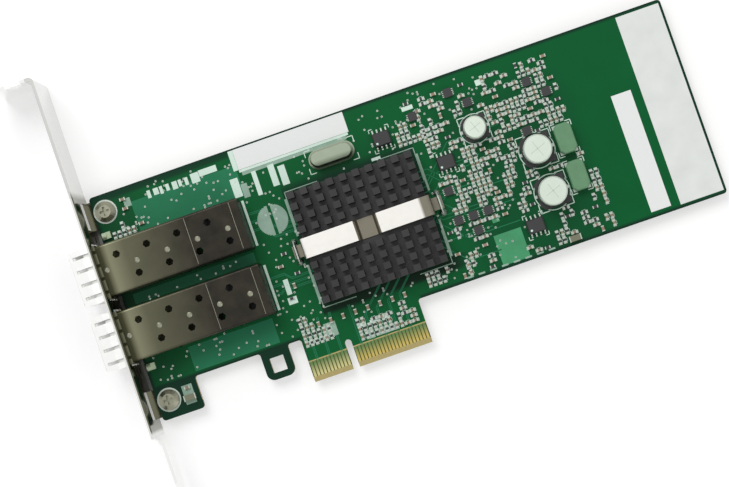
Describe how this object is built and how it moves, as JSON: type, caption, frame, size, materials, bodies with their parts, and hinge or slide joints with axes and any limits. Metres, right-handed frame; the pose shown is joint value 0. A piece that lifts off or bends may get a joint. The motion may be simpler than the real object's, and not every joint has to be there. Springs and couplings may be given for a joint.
{
  "type": "network interface card",
  "caption": "Low-profile expansion card with caged ports for pluggable optical modules, a finned heat sink with a spring clip, a full-height bracket and a gold edge connector.",
  "frame": {"origin": "on the card edge, at the middle of the key notch where the tongue ends, level with the component face of the board", "axes": "+X along the board away from the bracket, +Y from the card edge up to the board's top edge, +Z out of the component face"},
  "size_m": [0.1814, 0.12, 0.0184],
  "materials": {
    "board": "solder-masked glass-epoxy laminate, green",
    "gold": "gold-plated copper",
    "bracket_steel": "zinc-plated sheet steel",
    "screw_steel": "zinc-plated steel",
    "cage_metal": "nickel-plated sheet",
    "spring_metal": "plated spring alloy",
    "connector_black": "moulded plastic",
    "tinned": "tinned metal",
    "package_substrate": "laminate substrate",
    "package_cap": "moulded compound",
    "pad_grey": "filled silicone pad",
    "anodised_black": "black anodised extrusion",
    "clip_steel": "bright spring steel",
    "can_aluminium": "lacquered aluminium can",
    "crystal_metal": "nickel-plated can",
    "chip_black": "moulded compound",
    "ferrite": "sintered ferrite",
    "light_lens": "clear lens, green light",
    "ceramic_tan": "sintered ceramic",
    "resistor_black": "glazed ceramic",
    "tantalum": "moulded compound, ochre",
    "label_paper": "blank label"
  },
  "bodies": {
    "root": {"circuit_board": "board", "edge_contacts_front": "gold", "edge_contacts_back": "gold", "mounting_bracket": "bracket_steel", "bracket_screws": "screw_steel", "upper_port_cage": "cage_metal", "lower_port_cage": "cage_metal", "upper_spring_collar": "spring_metal", "lower_spring_collar": "spring_metal", "upper_host_connector": "connector_black", "lower_host_connector": "connector_black", "upper_host_contacts": "tinned", "lower_host_contacts": "tinned", "solder_balls": "tinned", "controller_base": "package_substrate", "controller_cap": "package_cap", "thermal_pad": "pad_grey", "heat_sink": "anodised_black", "spring_clip": "clip_steel", "clip_anchors": "tinned", "capacitor_base_one": "connector_black", "capacitor_base_two": "connector_black", "capacitor_base_three": "connector_black", "capacitor_can_one": "can_aluminium", "capacitor_can_two": "can_aluminium", "capacitor_can_three": "can_aluminium", "capacitor_leads": "tinned", "crystal_can": "crystal_metal", "flash_chip": "chip_black", "memory_chip": "chip_black", "driver_chip": "chip_black", "chip_leads": "tinned", "upper_choke": "ferrite", "lower_choke": "ferrite", "choke_terminals": "tinned", "port_lights": "light_lens", "ceramic_capacitors": "ceramic_tan", "resistors": "resistor_black", "bulk_capacitors": "tantalum", "part_terminals": "tinned", "solder_side_capacitors": "ceramic_tan", "solder_side_terminals": "tinned", "top_label": "label_paper", "end_label": "label_paper", "side_label": "label_paper"}
  },
  "joints": []
}
